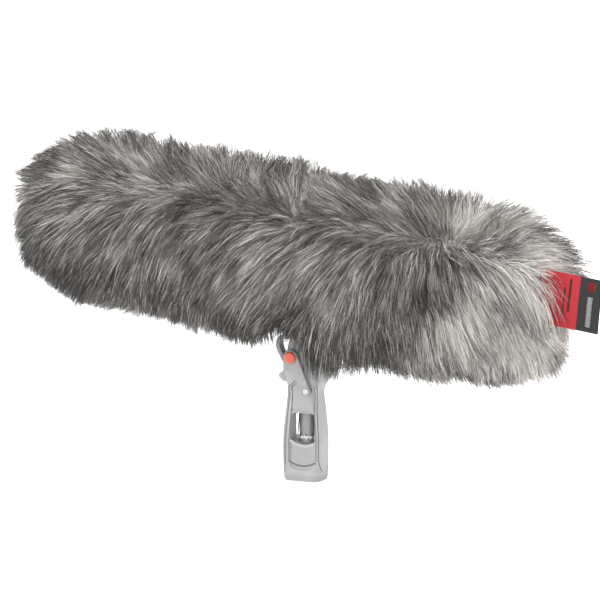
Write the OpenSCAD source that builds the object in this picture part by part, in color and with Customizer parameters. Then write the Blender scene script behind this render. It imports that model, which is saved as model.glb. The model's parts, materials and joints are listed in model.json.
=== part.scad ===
// Furry windscreen for a shotgun microphone: a long-haired cover over a caged windshield,
// carried on a pistol grip by a friction tilt joint. Millimetres.
// Origin: mouth of the stand thread, in the middle of the grip's foot. +Z runs up the grip,
// -X is where the microphone points, and Y is the thickness of the grip.

/* [Windshield] */
// Outside radius of the cage
cage_r = 50; // [48:0.5:52]
// Length of the straight tube of the cage
tube_len = 365; // [330:1:380]
// How far the middle of the straight tube lies in front of the tilt pivot
tube_ahead = 18; // [10:0.5:20]
// Number of rings along the tube
ring_count = 12; // [8:1:16]
// Number of bars around the tube
bar_count = 16; // [12:2:20]
// Nose-up angle at rest, measured from square to the grip
rest_tilt = 6.5; // [0:0.5:12]

/* [Fur cover] */
// Thickness of the combed pile over the lining
pile = 26; // [20:1:28]
// Radius of the gathered hole at the rear end
rear_hole_r = 28; // [24:1:32]
// Half length of the opening that the grip comes through
opening_half = 46; // [42:1:50]
// Half width of that opening
opening_side = 26; // [24:1:30]
// Length of the sewn-in tag
tag_len = 57.5; // [50:0.5:66]
// Height of the sewn-in tag
tag_h = 46; // [35:1:48]

/* [Suspension] */
// Bore radius of a microphone clip
clip_r = 9.75; // [9.5:0.05:10.5]
// Place of the front suspension along the tube
front_at = -95; // [-120:1:-70]
// Place of the rear suspension along the tube
rear_at = 65; // [50:1:90]
// Length of the bar that the suspensions slide on
bar_len = 290; // [260:1:310]

/* [Grip] */
// Height of the tilt pivot above the grip's foot
pivot_z = 121; // [118:0.5:124]
// Height of the microphone axis above the tilt pivot
axis_up = 66; // [65.5:0.1:66.5]
// Outside radius of the threaded tube
tube_r = 7.5; // [7.3:0.1:7.8]
// Nominal radius of the 3/8 inch stand thread
thread_r = 4.7625; // [4.7:0.0125:4.8]
// Depth of the stand thread
thread_depth = 22; // [16:1:26]

/* [Hidden] */
$fn = 96;
eps = 0.01;

// Windshield, measured along the microphone axis with the tilt pivot's place as zero.
tube_front = -tube_ahead - tube_len / 2;
tube_rear = -tube_ahead + tube_len / 2;
cage_t = 1.6;
cloth_t = 0.7;
cloth_gap = 0.1;
lining_in = cage_r + 3;
lining_out = lining_in + 1.2;
fur_r = lining_out + pile;
coupling_w = 9;
rear_round = 45;
rear_seam = tube_rear + 4;
rear_face = rear_seam + rear_round + 6;
body_front = tube_front + 2;
body_rear = tube_rear - 12;
slit_w = 2;
hem_r = 2.8;
hem_at = rear_hole_r - hem_r - 0.1;
hem_place = tube_rear + sqrt(lining_out * lining_out - hem_at * hem_at);
tag_sewn = 6;
tag_up = 18;
tag_t = 1.2;
tag_split = 0.652;

// Suspension, heights measured from the microphone axis.
bar_w = 14;
bar_h = 6;
bar_top = -cage_r + cage_t + 0.6 + bar_h;
foot_len = 22;
foot_w = 22;
foot_h = 8;
foot_low = bar_top - bar_h + 2;
clamp_at = bar_top - 1.5;
lyre_t = 12;
clip_wall = 3;

// Tilt joint.
hub_r = 10;
hub_half = 6.3;
cheek_gap = 7.2;
cheek_r = 10;
bolt_r = 3;
run = 0.05;
plate_low = 11.5;
plate_t = 3.4;
plate_half = 34;
plate_side = 9.5;
saddle_screw_at = 27;
bar_screw_at = 14;

// Grip outline: height, front edge, rear edge, half thickness.
grip_sections = [
    [0, -18.0, 14.5, 12.6],
    [3, -18.9, 15.3, 13.2],
    [14, -19.3, 15.6, 13.4],
    [30, -19.6, 15.9, 13.5],
    [46, -18.8, 15.3, 13.3],
    [60, -17.2, 13.9, 12.9],
    [74, -15.8, 12.2, 12.5],
    [81, -15.9, 13.6, 12.7],
    [87, -17.0, 17.2, 13.0],
    [96, -19.5, 23.0, 13.5]
];
front_corner = 6;
rear_corner = 8;
corner_steps = 6;
steps = 2;
half_t = 13.2;
head_z = 96;
fork_z = 106;
cap_h = 5;
window_front = -10.9;
window_rear = 11.3;
window_low = 34.6;
window_top = 59.2;
window_far_front = -16.4;
block_low = 15;
panel_top = 84;
smile_r = 21.7;
palm_x = 12.3;
bump = [-21.0, 89.3];
bump_r = 2.9;
bump_half = 8;
guard_back = -11.5;
guard_t = 3.5;
guard_half = 4.5;

// Lever, its shaft and the button in its end.
lever_at = [5.6, 78.9];
button_at = [-8.9, 107];
lever_in = 14.2;
lever_out = 17.6;
lever_root = 3.2;
lever_tip = 6.4;
shaft_r = 2.5;
bush_r = 3.1;
cam_r = 4;
cam_off = 1.2;
shoe_gap = 0.3;
button_r = 5;
button_out = 19.4;
spring_wire = 0.3;
spring_r = 2.2;
spring_turns = 3;

stack_r = 1.5;
screw_head_r = 2.4;
screw_head_y = 9.4;
screw_places = [[-11.5, 9.5], [10.3, 9.5], [-12.5, 89], [17, 94]];

// ---------------------------------------------------------------- helpers

// Places its children in the windshield's own frame, tilted about the pivot.
module tilted() {
    translate([0, 0, pivot_z]) rotate([0, rest_tilt, 0]) children();
}

// The same, with the microphone axis as the X axis.
module on_axis() {
    tilted() translate([0, 0, axis_up]) children();
}

// Turns a profile of [radius, place along the axis] into a solid about the microphone axis.
module spun() {
    rotate([0, 90, 0]) rotate_extrude() children();
}

// A cylinder along Y, centred on a place in the XZ plane.
module y_rod(at, r, y0, y1) {
    translate([at[0], y0, at[1]]) rotate([-90, 0, 0]) cylinder(r = r, h = y1 - y0);
}

// Extrudes a drawing in the XZ plane along Y.
module y_slab(y0, y1) {
    translate([0, y1, 0]) rotate([90, 0, 0]) linear_extrude(height = y1 - y0) children();
}

// A straight tube about the microphone axis.
module axis_tube(r_in, r_out, x0, x1) {
    spun() translate([r_in, x0]) square([r_out - r_in, x1 - x0]);
}

// A quarter ring profile: the section of a domed shell, towards -1 the nose or 1 the rear.
module dome_profile(r_in, r_out, at, way) {
    translate([0, at]) intersection() {
        difference() {
            circle(r = r_out);
            circle(r = r_in);
        }
        translate([0, way > 0 ? 0 : -r_out]) square([r_out, r_out]);
    }
}

// ------------------------------------------------------------------- grip

function blend4(a, b, c, d, t) =
    0.5 * (2 * b + (c - a) * t + (2 * a - 5 * b + 4 * c - d) * t * t
    + (3 * b - a - 3 * c + d) * t * t * t);

function section_at(u) =
    let (last = len(grip_sections) - 1, i = min(floor(u), last - 1), t = u - i)
    [for (k = [0:3]) blend4(grip_sections[max(i - 1, 0)][k], grip_sections[i][k],
        grip_sections[i + 1][k], grip_sections[min(i + 2, last)][k], t)];

// One rounded corner of a level, as points from angle a0 over a quarter turn.
function corner_points(x, y, r, a0, z) =
    [for (i = [0:corner_steps]) let (a = a0 + 90 * i / corner_steps)
        [x + r * cos(a), y + r * sin(a), z]];

// The rounded outline of one level: rear corners first, then the front ones.
function level_points(s) = let (rear = s[2] - rear_corner, front = s[1] + front_corner,
        rear_y = s[3] - rear_corner, front_y = s[3] - front_corner)
    concat(corner_points(rear, rear_y, rear_corner, 0, s[0]),
        corner_points(front, front_y, front_corner, 90, s[0]),
        corner_points(front, -front_y, front_corner, 180, s[0]),
        corner_points(rear, -rear_y, rear_corner, 270, s[0]));

// The grip's outer body, lofted through its levels.
module grip_body() {
    count = (len(grip_sections) - 1) * steps;
    sides = 4 * (corner_steps + 1);
    points = [for (i = [0:count]) each level_points(section_at(i / steps))];
    walls = [for (i = [0:count - 1]) for (k = [0:sides - 1]) let (n = (k + 1) % sides)
        each [[i * sides + k, (i + 1) * sides + n, i * sides + n],
            [i * sides + k, (i + 1) * sides + k, (i + 1) * sides + n]]];
    polyhedron(points, concat(walls, [[for (k = [0:sides - 1]) k],
        [for (k = [sides - 1:-1:0]) count * sides + k]]));
}

// Outline of the two cheeks that hold the tilt hub.
module cheek_outline() {
    translate([0, pivot_z]) circle(r = cheek_r, $fn = 48);
    polygon([[-17.5, head_z - 2], [-17.5, fork_z - 2], [-9.5, pivot_z + 3], [9.5, pivot_z + 3],
        [23, fork_z + 3], [25.5, fork_z - 3], [22.5, head_z - 2]]);
}

module head() {
    difference() {
        y_slab(-half_t, half_t) cheek_outline();
        translate([-40, -cheek_gap, fork_z]) cube([80, 2 * cheek_gap, 40]);
        y_rod([0, pivot_z], hub_r + 1.2, -cheek_gap, cheek_gap);
    }
    y_rod(bump, bump_r, -bump_half, bump_half);
    y_slab(-bump_half, bump_half)
        polygon([bump + [-1, 0.9 * bump_r], [-16.5, 95.5], [-13, 95], [-13, 80], [-15.6, 80.6], bump - [1.9, 2.1]]);
}

// The outline that parts the soft front strip from the shells.
module front_outline() {
    polygon([[-30, 6], [-14.5, 6], [-14.5, 20], [-13.5, 45], [-12.5, 60], [-11.4, 72],
        [-11, 80], [-15.5, 84], [-30, 84]]);
}

// The outline of the soft palm pad, with its lower edge sweeping to the back.
module palm_outline() {
    difference() {
        polygon([[palm_x, 6], [palm_x, 60], [11.4, 67], [10.9, 72], [10.9, 77], [palm_x, 82.5],
            [palm_x, 86], [palm_x + 20, 86], [palm_x + 20, 6]]);
        translate([palm_x - 14, 6]) circle(r = 17.5, $fn = 64);
    }
}

module window_outline() {
    difference() {
        translate([window_front, window_low - 3.2])
            square([window_rear - window_front, window_top - window_low + 3.2]);
        translate([window_front - eps, window_top + eps]) corner_cut(1);
        translate([window_rear + eps, window_top + eps]) corner_cut(-1);
    }
}

// A rounded inside corner of the window, opening towards +X (1) or -X (-1).
module corner_cut(way) {
    r = 4;
    difference() {
        translate([way > 0 ? 0 : -r, -r]) square([r, r]);
        translate([way * r, -r]) circle(r = r, $fn = 32);
    }
}

// The deeper front edge of the window in the right half of the grip.
module far_window() {
    y_slab(0, 20) translate([window_far_front, window_low])
        square([window_front - window_far_front + eps, window_top - window_low - 1]);
}

// The pocket of the lower block, closed below by an arc.
module pocket_outline() {
    intersection() {
        translate([window_front, 5]) square([window_rear - window_front, window_low - 5]);
        translate([(window_front + window_rear) / 2, block_low - 4.2 + smile_r]) circle(r = smile_r);
    }
}

// The lower block's outline, dished along its top.
module block_outline() {
    difference() {
        pocket_outline();
        translate([(window_front + window_rear) / 2, window_low - 3 + smile_r])
            circle(r = smile_r);
    }
}

module panel_outline() {
    polygon([[window_front + 1, window_top + 1], [window_rear - 1.2, window_top + 1],
        [9.3, 72], [9.8, panel_top - 3], [8, panel_top], [-7, panel_top], [-9.6, panel_top - 4],
        [-9.6, 72]]);
}

// Everything that is hollow inside the closed grip, or cut through it.
module grip_cuts() {
    y_slab(-20, 20) window_outline();
    y_slab(-20, 20) pocket_outline();
    far_window();
    translate([0, 0, -1]) cylinder(r = tube_r + run, h = 69);
    for (side = [-1, 1]) {
        y_slab(side > 0 ? 10.5 : -14, side > 0 ? 14 : -10.5) panel_outline();
    }
    translate([-7.5, -5.6, 72]) cube([17.4, 11.2, 32]);
    y_rod([0, pivot_z], bolt_r + run, -20, 20);
    y_rod(lever_at, bush_r + run, -20, -5);
    y_rod(lever_at, shaft_r + run, 5, 10);
    translate([-8, -3.4, 100]) cube([17, 6.8, 7]);
    translate([-7, -6.2, 103]) cube([14, 12.4, 20]);
    groove_cut();
}

// The curved groove under the block, on both sides.
module groove_cut() {
    middle = (window_front + window_rear) / 2;
    for (side = [-1, 1]) y_slab(side > 0 ? 12.7 : -14, side > 0 ? 14 : -12.7)
        intersection() {
            translate([middle, block_low - 4.2 + smile_r]) difference() {
                circle(r = smile_r + 1.2);
                circle(r = smile_r);
            }
            translate([window_front, 5]) square([window_rear - window_front, 12]);
        }
}

module screw_holes() {
    for (at = screw_places) {
        y_rod(at, stack_r + run, -8, 14);
        y_rod(at, screw_head_r + 0.2, screw_head_y, 15);
    }
}

// Half of the moulded casing, kept as one mesh because its lofted body has no exact form.
module shell(side) {
    color([0.74, 0.74, 0.75]) difference() {
        union() {
            grip_body();
            head();
        }
        translate([-50, side > 0 ? -30 : 0, -1]) cube([100, 30, 160]);
        translate([-50, -30, -1]) cube([100, 60, cap_h + 1]);
        y_slab(-20, 20) front_outline();
        y_slab(-20, 20) palm_outline();
        grip_cuts();
        screw_holes();
        y_slab(-guard_half - run, guard_half + run) guard_outline();
    }
}

module shell_left() {
    shell(-1);
}

module shell_right() {
    shell(1);
}

module front_overmould() {
    color([0.62, 0.62, 0.63]) difference() {
        intersection() {
            grip_body();
            y_slab(-20, 20) front_outline();
        }
        far_window();
    }
}

module palm_overmould() {
    color([0.68, 0.68, 0.69]) intersection() {
        grip_body();
        y_slab(-20, 20) palm_outline();
    }
}

module inset_panel(side) {
    color([0.70, 0.70, 0.71]) difference() {
        y_slab(side > 0 ? 10.6 : -12.2, side > 0 ? 12.2 : -10.6) panel_outline();
        y_rod(lever_at, bush_r + run, -20, 0);
    }
}

module inset_panel_left() {
    inset_panel(-1);
}

module inset_panel_right() {
    inset_panel(1);
}

module base_block() {
    color([0.72, 0.72, 0.73]) difference() {
        y_slab(-12.6, 12.6) block_outline();
        translate([0, 0, -1]) cylinder(r = tube_r + run, h = 60);
    }
}

module base_cap() {
    color([0.55, 0.55, 0.56]) difference() {
        intersection() {
            grip_body();
            translate([-50, -30, -1]) cube([100, 60, cap_h + 1]);
        }
        translate([0, 0, -1]) cylinder(r = tube_r + run, h = 10);
    }
}

// Steel tube with the stand thread in its foot, and a ring of spanner holes.
module thread_tube() {
    spanner_z = 39.5;
    color([0.66, 0.67, 0.69]) difference() {
        cylinder(r = tube_r, h = 67.5);
        translate([0, 0, -1]) cylinder(r = thread_r, h = thread_depth + 1);
        for (i = [0:7]) rotate([0, 0, i * 45 + 12]) translate([tube_r - 1.4, 0, spanner_z])
            rotate([0, 90, 0]) cylinder(r = 0.85, h = 3);
    }
}

module shell_screws() {
    color([0.35, 0.35, 0.36]) for (at = screw_places) difference() {
        union() {
            y_rod(at, stack_r, -7.8, screw_head_y + 0.1);
            y_rod(at, screw_head_r, screw_head_y, screw_head_y + 1.6);
        }
        y_rod(at, 1.1, screw_head_y + 0.7, 14);
    }
}

module guard_outline() {
    difference() {
        guard_edge(0);
        guard_edge(-guard_t);
        translate([guard_back, 80]) square([40, 60]);
        translate([-40, 60]) square([60, 31]);
    }
}

module guard_edge(inward) {
    offset(r = inward) offset(r = 5) offset(delta = -5)
        polygon([[-4, 84], [-14, 84], [-16, 90.5], [-18.7, 95.2], [-22.6, 101.6], [-26.7, 108.7],
            [-28.5, 114], [-27.6, 120], [-23, 123.5], [-4, 123.5]]);
}

// Curved finger guard, let into the front of the head.
module front_guard() {
    color([0.45, 0.45, 0.46]) y_slab(-guard_half, guard_half) guard_outline();
}

// ------------------------------------------------------------- tilt joint

module tilt_bolt() {
    color("silver") {
        y_rod([0, pivot_z], bolt_r, -half_t, half_t + 4);
        y_rod([0, pivot_z], 5, -half_t - 2.4, -half_t);
    }
}

module tilt_nut() {
    color("dimgray") difference() {
        y_rod([0, pivot_z], 5.2, half_t + 0.1, half_t + 4.4, $fn = 6);
        y_rod([0, pivot_z], bolt_r, half_t, half_t + 5);
    }
}

module friction_disc(side) {
    color([0.2, 0.2, 0.2]) difference() {
        y_rod([0, pivot_z], hub_r - 0.4, side > 0 ? hub_half + 0.1 : -cheek_gap + 0.05,
            side > 0 ? cheek_gap - 0.05 : -hub_half - 0.1);
        y_rod([0, pivot_z], bolt_r + run, -20, 20);
    }
}

module friction_disc_left() {
    friction_disc(-1);
}

module friction_disc_right() {
    friction_disc(1);
}

// Shoe that the cam lifts against the tilt hub.
module brake_shoe() {
    cam_top = lever_at[1] + cam_off + cam_r;
    color([0.25, 0.25, 0.26]) difference() {
        union() {
            translate([-6, -3.2, cam_top + shoe_gap])
                cube([14, 6.4, pivot_z - hub_r - cam_top - 2]);
            translate([-6, -5.8, fork_z - 2]) cube([12, 11.6, 8]);
        }
        y_rod([0, pivot_z], hub_r + 0.25, -20, 20);
    }
}

// Bearing sleeve of the lever's shaft.
module lever_bush() {
    color("gold") difference() {
        y_rod(lever_at, bush_r, -lever_in + 0.4, -5.8);
        y_rod(lever_at, shaft_r + run, -20, 0);
    }
}

// Shaft of the lever, with the round cam set off centre under the shoe.
module lever_shaft() {
    color("silver") {
        y_rod(lever_at, shaft_r, -lever_out + 0.6, 9);
        y_rod(lever_at + [0, cam_off], cam_r, -4.8, 4.8);
    }
}

// Bar of the lever, widening from its pivot to the round end.
module lever_outline() {
    hull() {
        translate(lever_at) circle(r = lever_root, $fn = 48);
        translate(button_at) circle(r = lever_tip, $fn = 64);
    }
}

module tilt_lever() {
    color([0.6, 0.6, 0.61]) difference() {
        y_slab(-lever_out, -lever_in) lever_outline();
        y_rod(lever_at, shaft_r, -20, -10);
        y_rod(button_at, button_r + 0.1, -20, -lever_in - 0.9);
    }
}

module lever_screw() {
    color("silver") difference() {
        y_rod(lever_at, shaft_r - 0.1, -lever_out - 0.9, -lever_out + 0.5);
        translate([lever_at[0] - 0.4, -20, lever_at[1] - 2]) cube([0.8, 1.9, 4]);
    }
}

module lever_button() {
    color([0.90, 0.36, 0.30]) difference() {
        union() {
            y_rod(button_at, button_r, -button_out + 0.8, -lever_out + 0.6);
            translate([button_at[0], -button_out + 0.8, button_at[1]]) rotate([90, 0, 0])
                cylinder(r1 = button_r, r2 = button_r - 0.8, h = 0.8);
        }
        y_rod(button_at, 3, -lever_out + 0.1, -10);
    }
}

// Points of a coil spring about Y, swept as an octagonal wire.
module button_spring() {
    y0 = -lever_in - 1.3;
    y1 = -lever_out + 0.42;
    rings = 48;
    sides = 8;
    function place(i) = let (a = 360 * spring_turns * i / rings)
        [spring_r * cos(a), y0 + (y1 - y0) * i / rings, spring_r * sin(a)];
    function wire(i, k) = let (a = 360 * spring_turns * i / rings, b = 360 * k / sides)
        place(i) + spring_wire * (cos(b) * [cos(a), 0, sin(a)] + sin(b) * [0, 1, 0]);
    points = [for (i = [0:rings]) for (k = [0:sides - 1]) wire(i, k)];
    walls = [for (i = [0:rings - 1]) for (k = [0:sides - 1])
        let (n = (k + 1) % sides)
        [i * sides + k, (i + 1) * sides + k, (i + 1) * sides + n, i * sides + n]];
    color("silver") translate([button_at[0], 0, button_at[1]]) polyhedron(points,
        concat(walls, [[for (k = [0:sides - 1]) k],
            [for (k = [sides - 1:-1:0]) rings * sides + k]]));
}

module tilt_hub() {
    color([0.3, 0.3, 0.31]) tilted() difference() {
        union() {
            y_rod([0, 0], hub_r, -hub_half, hub_half);
            translate([-8, -hub_half, 0]) cube([16, 2 * hub_half, plate_low]);
        }
        y_rod([0, 0], bolt_r + run, -20, 20);
    }
}

module saddle() {
    color([0.3, 0.3, 0.31]) tilted() difference() {
        translate([-plate_half, -plate_side, plate_low])
            cube([2 * plate_half, 2 * plate_side, plate_t]);
        for (x = [-1, 1]) for (y = [-1, 1]) translate([x * saddle_screw_at, y * 5, 5])
            cylinder(r = 1.5, h = 20);
        for (x = [-1, 1]) translate([x * bar_screw_at, 0, 5]) cylinder(r = 2, h = 20);
    }
}

module saddle_screws() {
    color("silver") tilted() for (x = [-1, 1]) for (y = [-1, 1])
        translate([x * saddle_screw_at, y * 5, 0]) {
            translate([0, 0, plate_low - 1.6]) cylinder(r = 2.8, h = 1.6);
            translate([0, 0, plate_low - 0.1]) cylinder(r = 1.5, h = plate_t + 2.5);
        }
}

// ------------------------------------------------------------------- cage

// Bars that run along the cage tube, with a flat spine underneath.
module cage_tube() {
    color([0.16, 0.16, 0.17]) on_axis() difference() {
        union() {
            for (i = [0:ring_count - 1]) {
                x = tube_front + 4 + i * (tube_len - 8) / (ring_count - 1);
                axis_tube(cage_r - cage_t, cage_r, x - 1.2, x + 1.2);
            }
            for (i = [0:bar_count - 1]) rotate([i * 360 / bar_count, 0, 0])
                translate([tube_front + 2, -1.2, cage_r - cage_t - 0.2])
                    cube([tube_len - 4, 2.4, cage_t]);
            translate([-60, -9, -cage_r - 1]) cube([120, 18, 2.8]);
        }
        spine_holes();
    }
}

module spine_holes() {
    for (x = [-1, 1]) for (y = [-1, 1]) translate([x * saddle_screw_at, y * 5, -cage_r - 2])
        cylinder(r = 1.5, h = 6);
    for (x = [-1, 1]) translate([x * bar_screw_at, 0, -cage_r - 2]) cylinder(r = 2, h = 6);
}

// Ring that couples a dome to the tube, inside the tube's last ring.
module coupling(x0, x1) {
    on_axis() axis_tube(cage_r - cage_t - 2.2, cage_r - cage_t - 0.4, x0, x1);
}

module front_ring() {
    color([0.12, 0.12, 0.13]) coupling(tube_front - coupling_w / 2, tube_front + coupling_w / 2);
}

module rear_ring() {
    color([0.12, 0.12, 0.13]) coupling(tube_rear - coupling_w / 2, tube_rear + coupling_w / 2);
}

// Half sphere with rows of windows between its ribs. way is -1 at the nose and 1 at the rear.
module dome(at, way) {
    ribs = 12;
    rib_half = 1.1;
    spread = tan(180 / ribs);
    on_axis() difference() {
        spun() dome_profile(cage_r - cage_t, cage_r, at, way);
        for (row = [[13, 27], [30.5, 44.5]]) for (i = [0:ribs - 1])
            translate([at + (way > 0 ? 1 : -61), 0, 0]) rotate([i * 360 / ribs, 0, 0])
                rotate([90, 0, 90]) linear_extrude(height = 60)
                    polygon([[rib_half - row[0] * spread, row[0]], [row[0] * spread - rib_half, row[0]],
                        [row[1] * spread - rib_half, row[1]], [rib_half - row[1] * spread, row[1]]]);
    }
}

module front_dome() {
    color([0.12, 0.12, 0.13]) dome(tube_front, -1);
}

module rear_dome() {
    color([0.12, 0.12, 0.13]) dome(tube_rear, 1);
}

module tube_cloth() {
    low = cage_r + cloth_gap;
    color([0.3, 0.3, 0.31]) on_axis() difference() {
        axis_tube(low, low + cloth_t, tube_front, tube_rear);
        translate([-62, -11, -cage_r - 5]) cube([124, 22, 10]);
    }
}

module dome_cloth(at, way) {
    low = cage_r + cloth_gap;
    color([0.3, 0.3, 0.31]) on_axis() spun() dome_profile(low, low + cloth_t, at, way);
}

module front_dome_cloth() {
    dome_cloth(tube_front, -1);
}

module rear_dome_cloth() {
    dome_cloth(tube_rear, 1);
}

// ------------------------------------------------------------- suspension

module suspension_bar() {
    color([0.25, 0.25, 0.26]) on_axis() difference() {
        translate([-tube_ahead - bar_len / 2, -bar_w / 2, bar_top - bar_h])
            cube([bar_len, bar_w, bar_h]);
        for (x = [-1, 1]) translate([x * bar_screw_at, 0, bar_top - bar_h - 1])
            cylinder(r = 1.7, h = 5);
    }
}

module bar_screws() {
    color("silver") tilted() for (x = [-1, 1]) translate([x * bar_screw_at, 0, 0]) {
        translate([0, 0, plate_low - 1.8]) cylinder(r = 3.2, h = 1.8);
        translate([0, 0, plate_low - 0.1]) cylinder(r = 1.7, h = 7.6);
    }
}

// Foot that straddles the bar and slides along it.
module foot(at) {
    clear = 0.3;
    color([0.14, 0.14, 0.15]) on_axis() difference() {
        translate([at - foot_len / 2, -foot_w / 2, foot_low]) cube([foot_len, foot_w, foot_h]);
        translate([at - foot_len, -bar_w / 2 - clear, foot_low - 1])
            cube([2 * foot_len, bar_w + 2 * clear, bar_top - foot_low + 1 + clear]);
        translate([at, -20, clamp_at]) rotate([-90, 0, 0]) cylinder(r = 1.55, h = 20);
    }
}

// Screw that clamps a foot to the side of the bar.
module foot_screw(at) {
    color("silver") on_axis() translate([at, 0, clamp_at]) rotate([90, 0, 0]) {
        translate([0, 0, bar_w / 2 + 0.4]) cylinder(r = 1.5, h = 4);
        translate([0, 0, foot_w / 2 + 0.05]) cylinder(r = 2.2, h = 2.5);
    }
}

// Lyre drawn in the YZ plane, with the microphone axis at its origin.
module lyre_outline() {
    arm = 2.6;
    reach = 26;
    turn = 5.5;
    foot_top = foot_low + foot_h;
    inner = reach - 2 * turn;
    difference() {
        circle(r = reach + arm / 2);
        circle(r = reach - arm / 2);
        translate([-60, 0]) square([120, 60]);
    }
    for (side = [-1, 1]) {
        translate([side * (reach - turn), 0]) difference() {
            circle(r = turn + arm / 2);
            circle(r = turn - arm / 2);
            translate([-20, -40]) square([40, 40]);
        }
        translate([side * inner - arm / 2, -5]) square([arm, 5 + eps]);
    }
    translate([-5, foot_top]) square([10, -reach - foot_top + 1]);
    translate([-inner, -5 - arm]) square([2 * inner, arm]);
}

module lyre(at) {
    color([0.1, 0.1, 0.11]) on_axis() difference() {
        translate([at - lyre_t / 2, 0, 0]) rotate([90, 0, 90]) linear_extrude(height = lyre_t)
            lyre_outline();
        translate([at - 20, 0, 0]) rotate([0, 90, 0]) cylinder(r = clip_r + clip_wall + 0.05, h = 40);
    }
}

// Open clip that the microphone tube snaps into.
module clip(at) {
    color([0.1, 0.1, 0.11]) on_axis() translate([at - lyre_t / 2, 0, 0]) rotate([90, 0, 90])
        linear_extrude(height = lyre_t) difference() {
            circle(r = clip_r + clip_wall);
            circle(r = clip_r);
            polygon([[0, 0], [-9, 20], [9, 20]]);
        }
}

module front_foot() {
    foot(front_at);
}

module front_foot_screw() {
    foot_screw(front_at);
}

module front_lyre() {
    lyre(front_at);
}

module front_clip() {
    clip(front_at);
}

module rear_foot() {
    foot(rear_at);
}

module rear_foot_screw() {
    foot_screw(rear_at);
}

module rear_lyre() {
    lyre(rear_at);
}

module rear_clip() {
    clip(rear_at);
}

// -------------------------------------------------------------- fur cover

// The hole that the grip comes through, and the slit behind it.
module cover_cuts() {
    translate([-opening_half, -opening_side, -fur_r - 5])
        cube([2 * opening_half, 2 * opening_side, fur_r]);
    translate([0, -slit_w / 2, -fur_r - 5]) cube([rear_face + 20, slit_w, fur_r]);
}

module fur_nose() {
    color([0.42, 0.40, 0.39]) on_axis() spun() {
        dome_profile(lining_out, fur_r, body_front - 2, -1);
        translate([lining_out, body_front - 2]) square([pile, 2]);
    }
}

module fur_body() {
    color([0.40, 0.38, 0.37]) on_axis() difference() {
        axis_tube(lining_out, fur_r, body_front, body_rear);
        cover_cuts();
    }
}

// The rear panel: its section closes in round the gathered hole.
module fur_rear() {
    corner = fur_r - rear_round;
    color([0.55, 0.53, 0.52]) on_axis() difference() {
        spun() difference() {
            union() {
                translate([0, body_rear]) square([fur_r, rear_seam - body_rear]);
                translate([0, rear_seam]) square([corner, rear_round]);
                translate([corner, rear_seam]) intersection() {
                    circle(r = rear_round);
                    square(rear_round);
                }
            }
            translate([0, tube_rear]) circle(r = lining_out);
            translate([-1, body_rear - 1]) square([lining_out + 1, tube_rear - body_rear + 1]);
            translate([-1, tube_rear]) square([rear_hole_r + 1, 200]);
        }
        cover_cuts();
    }
}

module cover_lining() {
    color([0.2, 0.19, 0.19]) on_axis() difference() {
        spun() {
            dome_profile(lining_in, lining_out, tube_front, -1);
            translate([lining_in, tube_front]) square([lining_out - lining_in, tube_len]);
            difference() {
                dome_profile(lining_in, lining_out, tube_rear, 1);
                translate([-1, tube_rear]) square([rear_hole_r + 1, 200]);
            }
        }
        cover_cuts();
    }
}

// Band sewn round the grip opening.
module opening_binding() {
    w = 1.6;
    color([0.15, 0.15, 0.15]) on_axis() intersection() {
        axis_tube(lining_in - 0.8, lining_out + 4, -60, 60);
        difference() {
            translate([-opening_half + eps, -opening_side + eps, -80])
                cube([2 * (opening_half - eps), 2 * (opening_side - eps), 60]);
            translate([-opening_half + w, -opening_side + w, -90])
                cube([2 * (opening_half - w), 2 * (opening_side - w), 80]);
        }
    }
}

// A tape that closes the slit, lying between the lining and the cage.
module tape(r_in, r_out, y0, y1) {
    on_axis() intersection() {
        axis_tube(r_in, r_out, opening_half + 18, tube_rear - 4);
        translate([0, y0, -80]) cube([300, y1 - y0, 60]);
    }
}

module hook_tape() {
    color([0.1, 0.1, 0.1]) tape(lining_in - 1.0, lining_in - 0.1, -11, 7);
}

module loop_tape() {
    color([0.22, 0.22, 0.22]) tape(lining_in - 2.0, lining_in - 1.1, -7, 11);
}

// Hem round the rear hole, with a channel for the elastic.
module rear_hem() {
    color([0.12, 0.12, 0.12]) on_axis() spun() translate([hem_at, hem_place]) difference() {
        circle(r = hem_r);
        circle(r = hem_r - 1.3);
    }
}

module rear_elastic() {
    color([0.85, 0.85, 0.85]) on_axis() spun() translate([hem_at, hem_place])
        circle(r = hem_r - 1.4);
}

// The tag is sewn into the rear panel beside the hole, on the left of the cover.
module tag_part(x0, x1) {
    on_axis() translate([rear_face - tag_sewn + x0, -rear_hole_r - 2, tag_up - tag_h / 2])
        cube([x1 - x0, tag_t, tag_h]);
}

module tag_red() {
    color([0.72, 0.10, 0.15]) tag_part(0, tag_len * tag_split);
}

module tag_black() {
    color([0.10, 0.10, 0.11]) tag_part(tag_len * tag_split, tag_len);
}

shell_left();
shell_right();
front_overmould();
palm_overmould();
inset_panel_left();
inset_panel_right();
base_block();
base_cap();
thread_tube();
shell_screws();
front_guard();
tilt_bolt();
tilt_nut();
friction_disc_left();
friction_disc_right();
lever_bush();
brake_shoe();
tilt_lever();
lever_shaft();
lever_screw();
lever_button();
button_spring();
tilt_hub();
saddle();
saddle_screws();
cage_tube();
front_ring();
rear_ring();
front_dome();
rear_dome();
tube_cloth();
front_dome_cloth();
rear_dome_cloth();
suspension_bar();
bar_screws();
front_foot();
front_foot_screw();
front_lyre();
front_clip();
rear_foot();
rear_foot_screw();
rear_lyre();
rear_clip();
fur_nose();
fur_body();
fur_rear();
cover_lining();
opening_binding();
hook_tape();
loop_tape();
rear_hem();
rear_elastic();
tag_red();
tag_black();
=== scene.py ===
"""Looks of the furry windscreen: long fur made of separate strands, its lining, the caged
windshield inside it, the sewn-in label, and the pistol grip below. Metres, in the part's frame."""
import json
import math

import bpy
import numpy as np
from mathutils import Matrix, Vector
from mathutils.bvhtree import BVHTree
from mathutils.kdtree import KDTree


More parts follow.
